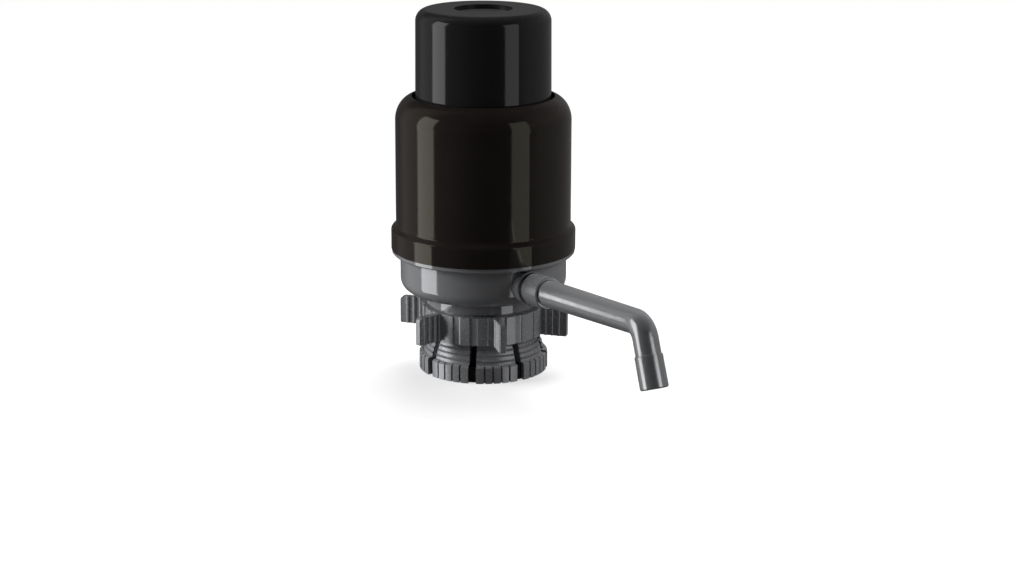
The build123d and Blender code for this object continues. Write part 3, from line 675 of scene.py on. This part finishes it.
def springTree(tree, given):
    # round wire wound up an even coil, its ends half a wire inside the node's bottom and top
    length = addNode(tree, "ShaderNodeMath", {0: given["top"], 1: given["bottom"]}, operation="SUBTRACT")
    rise = addNode(tree, "ShaderNodeMath", {0: length.outputs[0], 1: given["wire"]}, operation="SUBTRACT")
    spiral = addNode(tree, "GeometryNodeCurveSpiral", {
        "Resolution": given["turnSteps"], "Rotations": given["turns"], "Height": rise.outputs[0],
        "Start Radius": given["radius"], "End Radius": given["radius"],
    })
    half = addNode(tree, "ShaderNodeMath", {0: given["wire"], 1: 0.5}, operation="MULTIPLY")
    section = addNode(tree, "GeometryNodeCurvePrimitiveCircle", {
        "Resolution": given["wireSides"], "Radius": half.outputs[0],
    })
    coil = addNode(tree, "GeometryNodeCurveToMesh", {
        "Curve": spiral.outputs[0], "Profile Curve": section.outputs[0], "Fill Caps": True,
    })
    start = addNode(tree, "ShaderNodeMath", {0: given["bottom"], 1: half.outputs[0]}, operation="ADD")
    place = addNode(tree, "ShaderNodeCombineXYZ", {"Z": start.outputs[0]})
    moved = addNode(tree, "GeometryNodeTransform", {0: coil.outputs[0], "Translation": place.outputs[0]})
    return moved.outputs[0]


springMesh = growMesh("returnCoil", spring, springTree, steel)
smoothShade(springMesh, hardAngle=50)
coil = addPiece("spring_coil", springMesh, steel, "base", "return_spring")
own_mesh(coil)
print("stage: spring with", len(springMesh.polygons), "faces")


# Bellows: soft rounded folds between the foot flange and the closed top

folds = {
    "crest": 36.0, "root": 29.0, "wall": 1.2, "count": 6, "flange": 2.0, "flangeRadius": 40.5,
    "bottom": 83.5, "top": 168.0, "cornerRound": 0.6, "ease": 0.8, "stepsPerFold": 16, "sides": 96,
}


def turnedMesh(name, outline, sides):
    # closed surface turned about Z from a loop of (radius, height) points in mm; one on the axis is a pole
    shape = bmesh.new()
    rings = []
    for radius, height in outline:
        if radius == 0:
            rings.append([shape.verts.new((0, 0, height * mm))] * sides)
            continue
        angles = [2 * math.pi * i / sides for i in range(sides)]
        rings.append([shape.verts.new((radius * mm * math.cos(a), radius * mm * math.sin(a), height * mm))
                      for a in angles])
    for lower, upper in zip(rings, rings[1:] + rings[:1]):
        for i in range(sides):
            corners = [lower[i], lower[(i + 1) % sides], upper[(i + 1) % sides], upper[i]]
            corners = list(dict.fromkeys(corners))
            if len(corners) > 2:
                shape.faces.new(corners)
    bmesh.ops.recalc_face_normals(shape, faces=shape.faces)
    mesh = bpy.data.meshes.new(name)
    shape.to_mesh(mesh)
    shape.free()
    return mesh


def bellowsOutline():
    # the foot flange, the folds outside, the closed top and back down the folds inside
    low = folds["bottom"] + folds["flange"]
    high = folds["top"] - folds["flange"]
    steps = folds["count"] * folds["stepsPerFold"]
    outer, inner = [], []
    for i in range(steps + 1):
        share = i / steps
        swell = (0.5 - 0.5 * math.cos(2 * math.pi * folds["count"] * share)) ** folds["ease"]
        radius = folds["root"] + (folds["crest"] - folds["root"]) * swell
        height = low + (high - low) * share
        outer.append((radius, height))
        inner.append((radius - folds["wall"], height))
    foot = [(folds["root"] - folds["wall"], folds["bottom"]), (folds["flangeRadius"], folds["bottom"]),
            (folds["flangeRadius"], low)]
    corner = folds["cornerRound"]
    cover = [(folds["root"], folds["top"] - corner), (folds["root"] - corner, folds["top"]),
             (0, folds["top"])]
    return foot + outer + cover + [(0, high)] + list(reversed(inner))


bellowsMesh = turnedMesh("foldedBellows", bellowsOutline(), folds["sides"])
smoothShade(bellowsMesh, hardAngle=50)
skin = addPiece("folded_bellows", bellowsMesh, foldRubber, "base", "bellows")
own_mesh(skin)
print("stage: bellows with", len(bellowsMesh.polygons), "faces")


# Copies of the clamp's two moulded pieces with soft outside edges, as a mould leaves them

roundings = {
    "wing_nut": {"piece": "rounded_wing_nut", "width": 0.62, "body": "nut", "slot": "clamp_grey"},
    "neck_collet": {
        "piece": "rounded_neck_collet", "width": 0.5, "body": "base", "slot": "clamp_grey",
        # the corners near this level, the crown's top edge, come down by so much
        "lowered": {"level": 12.5, "near": 0.95, "by": 1.5},
    },
}

edgeFinish = {
    "merge": 0.002, "flatAngle": 1.0, "sharpAngle": 28.0, "segments": 2, "profile": 0.5,
    "corners": 4,  # faces with more of them are cut into triangles
}


def roundedCopy(nodeName, width, lowered=None):
    # a CAD node's mesh, merged and with its sharp outside edges bevelled; a face attribute marks the bevels,
    # which the nylon paints with a pale edge highlight
    shape = bmesh.new()
    shape.from_mesh(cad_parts[nodeName].data)
    paintedEdgeHighlight = shape.faces.layers.float.new("paintedEdgeHighlight")
    bmesh.ops.remove_doubles(shape, verts=shape.verts, dist=edgeFinish["merge"] * mm)
    if lowered:
        for corner in shape.verts:
            if abs(corner.co.z - lowered["level"] * mm) < lowered["near"] * mm:
                corner.co.z -= lowered["by"] * mm
    bmesh.ops.dissolve_limit(shape, angle_limit=math.radians(edgeFinish["flatAngle"]),
                             verts=shape.verts, edges=shape.edges)
    sharp = [edge for edge in shape.edges if len(edge.link_faces) == 2 and edge.is_convex
             and edge.calc_face_angle() > math.radians(edgeFinish["sharpAngle"])]
    rounds = bmesh.ops.bevel(shape, geom=sharp, offset=width * mm, segments=edgeFinish["segments"],
                             profile=edgeFinish["profile"], affect="EDGES", clamp_overlap=True)["faces"]
    # the bevel faces are marked for the painted edge highlight
    for face in rounds:
        face[paintedEdgeHighlight] = 1.0
    large = [face for face in shape.faces if len(face.verts) > edgeFinish["corners"]]
    bmesh.ops.triangulate(shape, faces=large)
    mesh = bpy.data.meshes.new(nodeName + "Rounded")
    shape.to_mesh(mesh)
    shape.free()
    holder = bpy.data.objects.new("roundingHolder", mesh)
    bpy.context.collection.objects.link(holder)
    mesh.shade_smooth()
    weigh = holder.modifiers.new("weigh", "WEIGHTED_NORMAL")
    weigh.keep_sharp = True
    return bakedMesh(holder)


for nodeName, spec in roundings.items():
    roundedMesh = roundedCopy(nodeName, spec["width"], spec.get("lowered"))
    addPiece(spec["piece"], roundedMesh, finishes[nodeName], spec["body"], nodeName)
    print("stage:", spec["piece"], "with", len(roundedMesh.polygons), "faces")


# The outlet elbow again, without the one face of no area that its CAD mesh holds

cleaning = {"smallestFace": 0.000001}  # square millimetres


def cleanedCopy(nodeName):
    # a copy of a CAD node's mesh without the faces that are smaller than the smallest
    shape = bmesh.new()
    shape.from_mesh(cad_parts[nodeName].data)
    flat = [face for face in shape.faces if face.calc_area() < cleaning["smallestFace"] * mm * mm]
    bmesh.ops.delete(shape, geom=flat, context="FACES_ONLY")
    mesh = bpy.data.meshes.new(nodeName + "Cleaned")
    shape.to_mesh(mesh)
    shape.free()
    return mesh


elbowMesh = cleanedCopy("outlet_elbow")
addPiece("cleaned_outlet_elbow", elbowMesh, innerWhite, "base", "outlet_elbow")
print("stage: outlet elbow with", len(elbowMesh.polygons), "faces")
